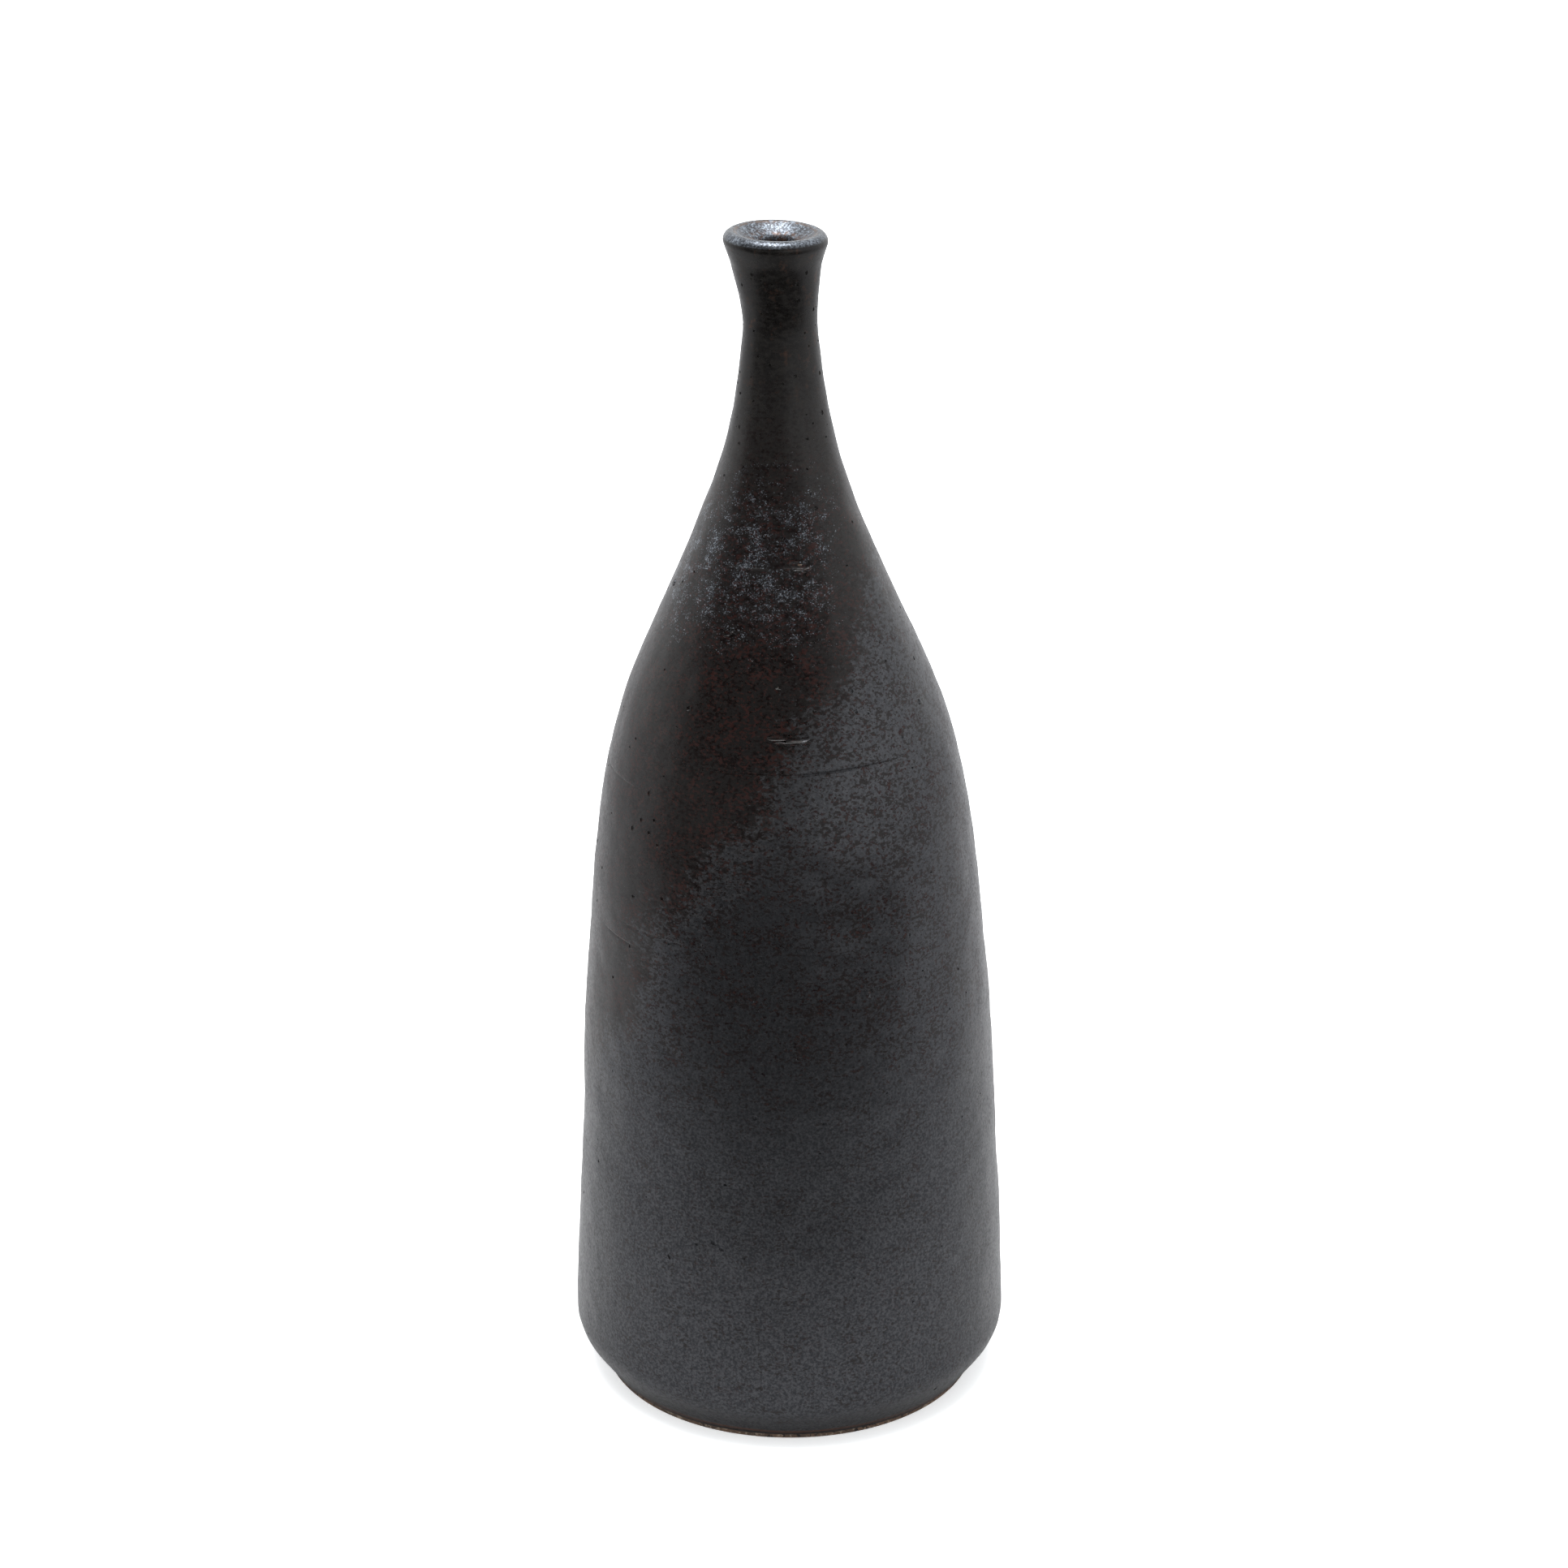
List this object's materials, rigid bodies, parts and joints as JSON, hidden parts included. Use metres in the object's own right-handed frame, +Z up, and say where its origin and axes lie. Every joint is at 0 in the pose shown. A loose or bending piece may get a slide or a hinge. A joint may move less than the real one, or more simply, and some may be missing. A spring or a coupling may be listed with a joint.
{
  "type": "bottle vase",
  "caption": "Wheel-thrown stoneware bottle vase: tapering body, sloping shoulder and slender neck with a small flared, dished mouth that holds one flower stem.",
  "frame": {"origin": "middle of the foot, on the surface that the vase stands on", "axes": "+Z up along the axis the vase was thrown about, towards the mouth; the side that faces the viewer is -Y"},
  "size_m": [0.0979, 0.0978, 0.26],
  "materials": {
    "bare_clay": "bare fired iron-bearing stoneware, dark brown, matt, lightly gritty where it was turned",
    "outer_glaze": "satin gunmetal-black manganese and iron glaze, finely crystalline, breaking to rusty brown where it is thin",
    "inner_glaze": "the same glaze, more glittering and blue-grey in the mouth, rusty where it thins towards the bore"
  },
  "bodies": {
    "root": {"clay_body": "bare_clay", "outer_glaze": "outer_glaze", "inner_glaze": "inner_glaze"}
  },
  "joints": []
}
